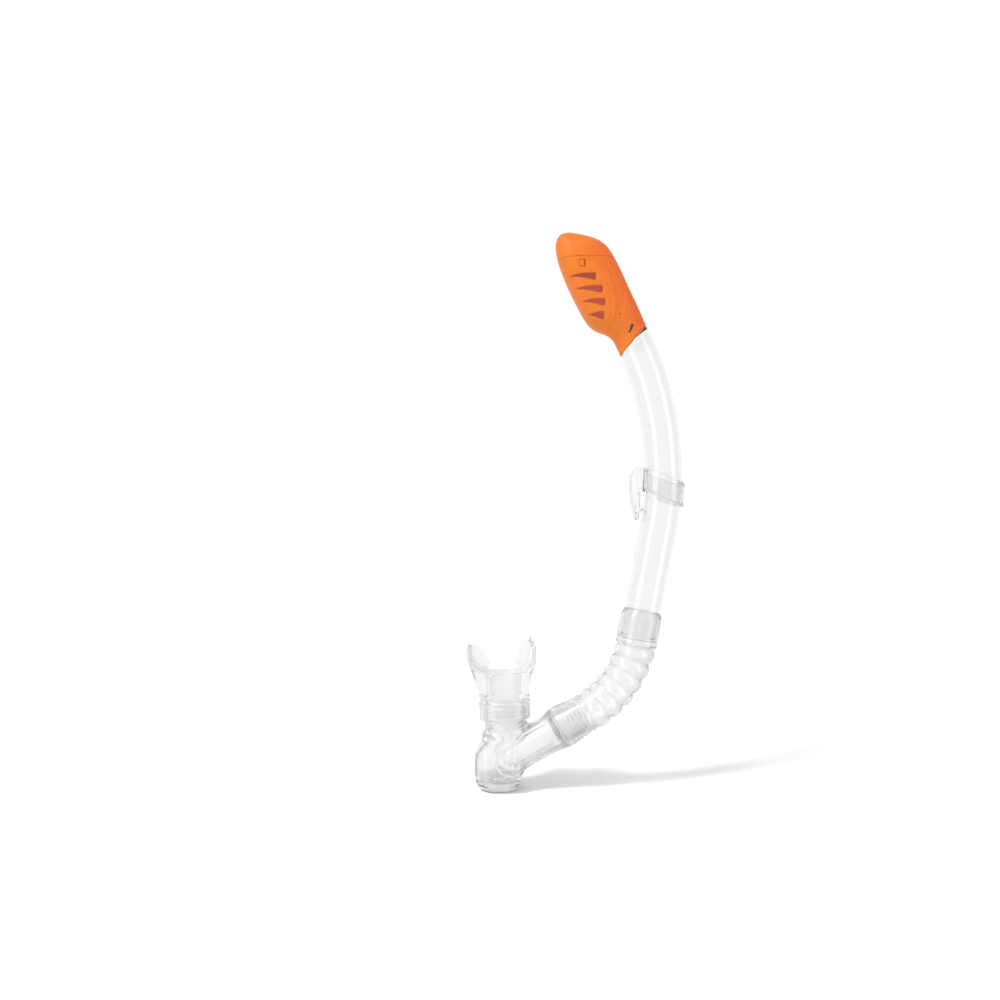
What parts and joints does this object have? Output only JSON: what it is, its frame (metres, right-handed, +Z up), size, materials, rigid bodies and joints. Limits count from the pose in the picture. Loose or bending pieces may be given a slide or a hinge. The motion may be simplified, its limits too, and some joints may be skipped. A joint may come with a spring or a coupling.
{
  "type": "snorkel tube",
  "caption": "Semi-dry snorkel with a slotted splash guard, clear bent barrel, sliding strap keeper, ribbed hose, purge valve elbow and soft mouthpiece.",
  "frame": {"origin": "centre of the purge cover's flat base", "axes": "+Z up, towards the splash guard; +X from the mouthpiece towards the barrel; the snorkel is mirrored about its XZ plane"},
  "size_m": [0.1593, 0.0336, 0.4086],
  "materials": {
    "guard_plastic": "satin moulded orange plastic",
    "clear_rigid": "polished clear rigid plastic",
    "clear_soft": "clear flexible PVC, slightly hazy",
    "mouthpiece_soft": "soft clear silicone with frosted bite tabs",
    "valve_silicone": "thin translucent silicone"
  },
  "bodies": {
    "keeper": {"strap_keeper": "clear_soft"},
    "barrel": {"barrel_tube": "clear_rigid", "guard_adapter": "clear_rigid", "splash_guard_body": "guard_plastic", "splash_guard_cap": "guard_plastic", "splash_baffle": "guard_plastic", "hose_upper": "clear_soft"},
    "lower_hose": {"hose_lower": "clear_soft"},
    "elbow": {"elbow_body": "clear_rigid", "mouthpiece": "mouthpiece_soft", "purge_seat": "clear_rigid", "purge_cover": "clear_rigid"},
    "valve": {"purge_valve": "valve_silicone"}
  },
  "joints": [
    {"name": "keeper_slide", "type": "hinge", "parent": "keeper", "child": "barrel", "pos_m": [-0.10584, 0, 0.23157], "axis": [0, 1, 0], "range_deg": [-4, 18]},
    {"name": "hose_flex", "type": "hinge", "parent": "barrel", "child": "lower_hose", "pos_m": [0.08884, 0, 0.07754], "axis": [0, 1, 0], "range_deg": [-22, 22], "stiffness_Nm_per_rad": 1, "springref_deg": 2.69},
    {"name": "elbow_swivel", "type": "hinge", "parent": "lower_hose", "child": "elbow", "pos_m": [0.04538, 0, 0.04516], "axis": [-0.866, 0, -0.5], "range_deg": [-45, 45]},
    {"name": "purge_valve_lift", "type": "slide", "parent": "elbow", "child": "valve", "axis": [0, 0, -1], "range_m": [0, 0.0015], "stiffness_N_per_m": 50, "springref_m": -0.0005}
  ]
}
